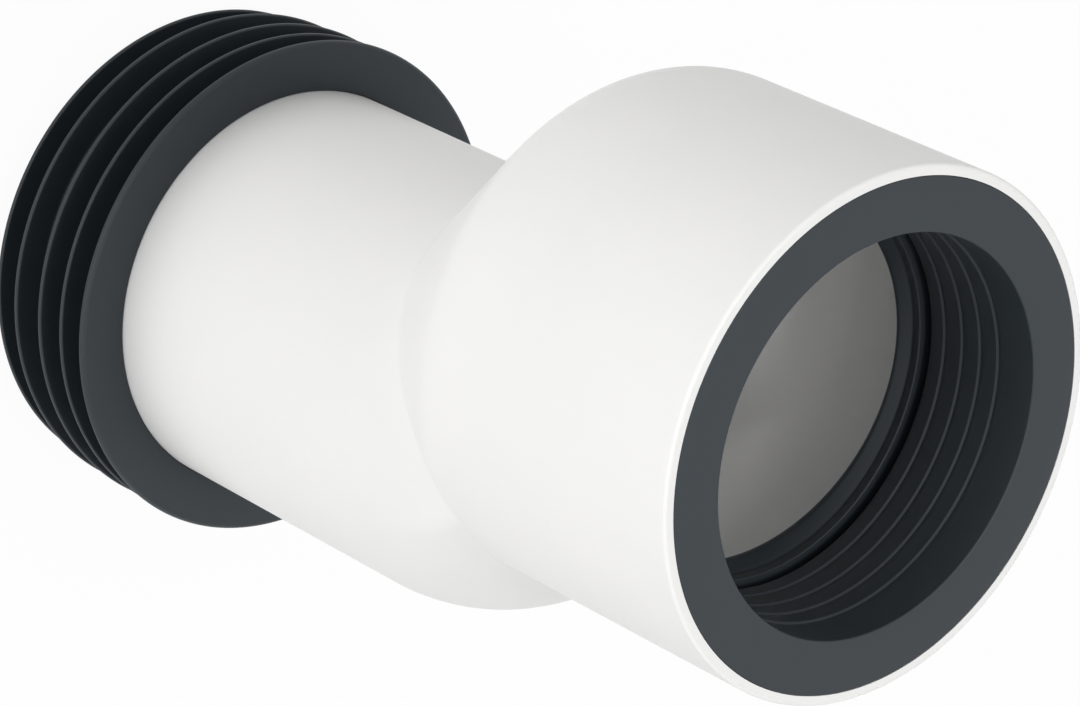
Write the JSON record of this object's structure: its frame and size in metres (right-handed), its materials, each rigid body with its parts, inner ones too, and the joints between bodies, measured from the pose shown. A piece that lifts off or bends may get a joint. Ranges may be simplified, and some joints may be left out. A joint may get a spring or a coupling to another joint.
{
  "type": "toilet pan connector",
  "caption": "Rigid offset toilet pan connector: white moulded socket and spigot on parallel axes, dark lip seal in the inlet and dark finned seal on the outlet.",
  "frame": {"origin": "centre of the outlet end face, on the axis of the outlet spigot", "axes": "+Z along the spigot's axis towards the inlet socket's mouth, +X from the spigot's axis towards the socket's axis, symmetric about the XZ plane"},
  "size_m": [0.151, 0.12, 0.238],
  "materials": {
    "body": "injection-moulded white polypropylene, satin gloss",
    "seal": "moulded anthracite elastomer, matt"
  },
  "bodies": {
    "root": {"connector_body": "body", "outlet_fin_seal": "seal", "inlet_lip_seal": "seal"}
  },
  "joints": []
}
